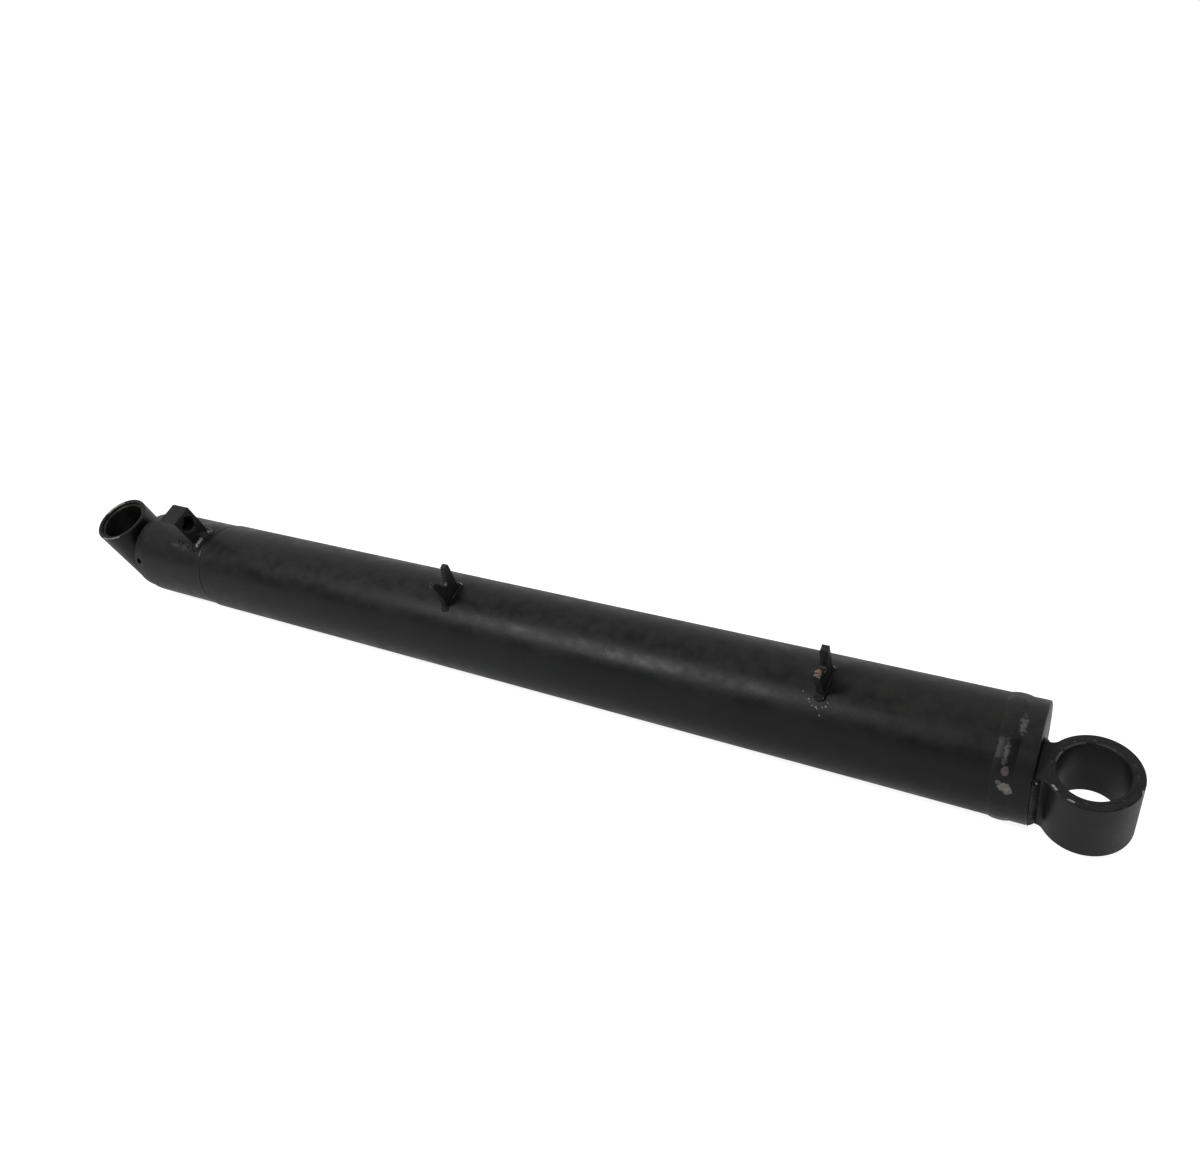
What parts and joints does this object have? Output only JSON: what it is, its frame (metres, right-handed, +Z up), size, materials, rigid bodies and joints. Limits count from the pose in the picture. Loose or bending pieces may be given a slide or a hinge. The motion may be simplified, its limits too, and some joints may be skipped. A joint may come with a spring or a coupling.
{
  "type": "hydraulic cylinder",
  "caption": "Double-acting welded hydraulic cylinder, retracted: long barrel with a lug eye at its base, a cross-tube eye on the sliding rod, port blocks and line brackets.",
  "frame": {"origin": "middle of the bounding box's floor, with the cylinder lying as it rests on a surface", "axes": "+X along the bore from the rod eye towards the base eye, +Z up, -Y towards the side of the rod port and line brackets"},
  "size_m": [0.9026, 0.1172, 0.1022],
  "materials": {
    "black_paint": "satin black enamel, dusty, scuffed to metal at a few edges",
    "weld_paint": "satin black enamel over a rippled weld bead",
    "chrome_rod": "hard chrome, ground and polished",
    "zinc_steel": "machined and zinc plated",
    "bushing_steel": "hardened steel, oiled dark, bored finish",
    "piston_iron": "turned ductile iron",
    "seal_urethane": "polyurethane, slightly glossy",
    "seal_ptfe": "filled fluoropolymer",
    "wear_resin": "woven phenolic and bronze filled resin",
    "rubber": "nitrile rubber"
  },
  "bodies": {
    "barrel": {"barrel_tube": "black_paint", "head_collar": "black_paint", "base_cap": "black_paint", "base_eye": "black_paint", "rod_port_block": "black_paint", "base_port_block": "black_paint", "line_bracket_front": "black_paint", "line_bracket_rear": "black_paint", "head_gland": "black_paint", "base_cap_weld": "weld_paint", "collar_seam_weld": "weld_paint", "base_eye_weld_upper": "weld_paint", "base_eye_weld_lower": "weld_paint", "rod_port_weld": "weld_paint", "base_port_weld": "weld_paint", "line_bracket_weld_front": "weld_paint", "line_bracket_weld_rear": "weld_paint", "base_eye_bushing": "bushing_steel", "rod_wiper": "seal_urethane", "rod_seal": "seal_urethane", "gland_backup_ring": "seal_ptfe", "rod_buffer_seal": "wear_resin", "rod_wear_band": "wear_resin", "gland_o_ring": "rubber"},
    "piston_rings": {"piston_seal_energizer": "rubber", "piston_seal": "seal_ptfe", "piston_wear_band_1": "wear_resin", "piston_wear_band_2": "wear_resin"},
    "rod": {"piston_rod": "chrome_rod", "piston": "piston_iron", "piston_static_o_ring": "rubber", "piston_nut": "zinc_steel", "rod_eye": "black_paint", "rod_eye_weld": "weld_paint", "rod_eye_bushing": "bushing_steel"}
  },
  "joints": [
    {"name": "rod_slide", "type": "slide", "parent": "barrel", "child": "piston_rings", "axis": [-1, 0, 0], "range_m": [0, 0.609]},
    {"name": "rod_spin", "type": "hinge", "parent": "piston_rings", "child": "rod", "pos_m": [0, -0.01095, 0.0393], "axis": [-1, 0, 0], "continuous": true}
  ]
}
